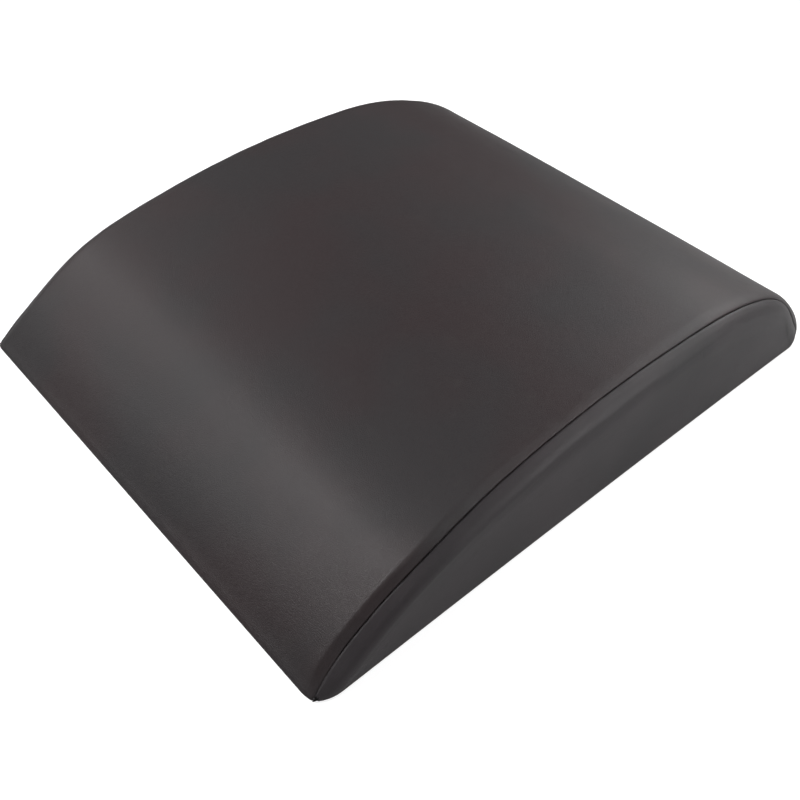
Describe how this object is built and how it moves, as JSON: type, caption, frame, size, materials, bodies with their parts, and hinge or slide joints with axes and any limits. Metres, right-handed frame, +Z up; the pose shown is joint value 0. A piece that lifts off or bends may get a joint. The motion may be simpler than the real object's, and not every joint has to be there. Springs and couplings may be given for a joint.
{
  "type": "ab mat",
  "caption": "Wedge-arched foam mat that supports the lower back in sit-ups, with a sewn leatherette cover, a non-slip base and a zip at the foot of its tall end.",
  "frame": {"origin": "middle of the footprint, on the floor plane that the base rests on", "axes": "+X along the mat from its thin end to its tall end, +Y across it, +Z up out of the base"},
  "size_m": [0.3801, 0.3, 0.0734],
  "materials": {
    "leather_top": "smooth black leatherette, satin",
    "leather_side": "smooth black leatherette, satin",
    "grip_base": "woven non-slip cloth, matt",
    "foam": "firm open foam, matt",
    "zip_tape": "woven polyester, matt",
    "zip_teeth": "moulded, satin",
    "zip_metal": "black enamel over die-cast metal",
    "stop_metal": "pressed metal"
  },
  "bodies": {
    "mat": {"foam_core": "foam", "cover_top_panel": "leather_top", "cover_side_panel_left": "leather_side", "cover_side_panel_right": "leather_side", "cover_rear_strip": "leather_top", "cover_base_panel": "grip_base", "zip_tape_upper": "zip_tape", "zip_tape_lower": "zip_tape", "zip_teeth_upper": "zip_teeth", "zip_teeth_lower": "zip_teeth", "zip_top_stop_upper": "stop_metal", "zip_top_stop_lower": "stop_metal", "zip_bottom_stop": "stop_metal"},
    "slider": {"zip_slider": "zip_metal"},
    "pull": {"zip_pull_tab": "zip_metal"}
  },
  "joints": [
    {"name": "zip_slide", "type": "slide", "parent": "mat", "child": "slider", "axis": [0, -1, 0], "range_m": [0, 0.1909], "deforming": ["zip_teeth_upper", "zip_teeth_lower"]},
    {"name": "pull_swing", "type": "hinge", "parent": "slider", "child": "pull", "pos_m": [0.18839, 0.0957, 0.01165], "axis": [-0.3256, 0, 0.9455], "range_deg": [0, 165]}
  ]
}
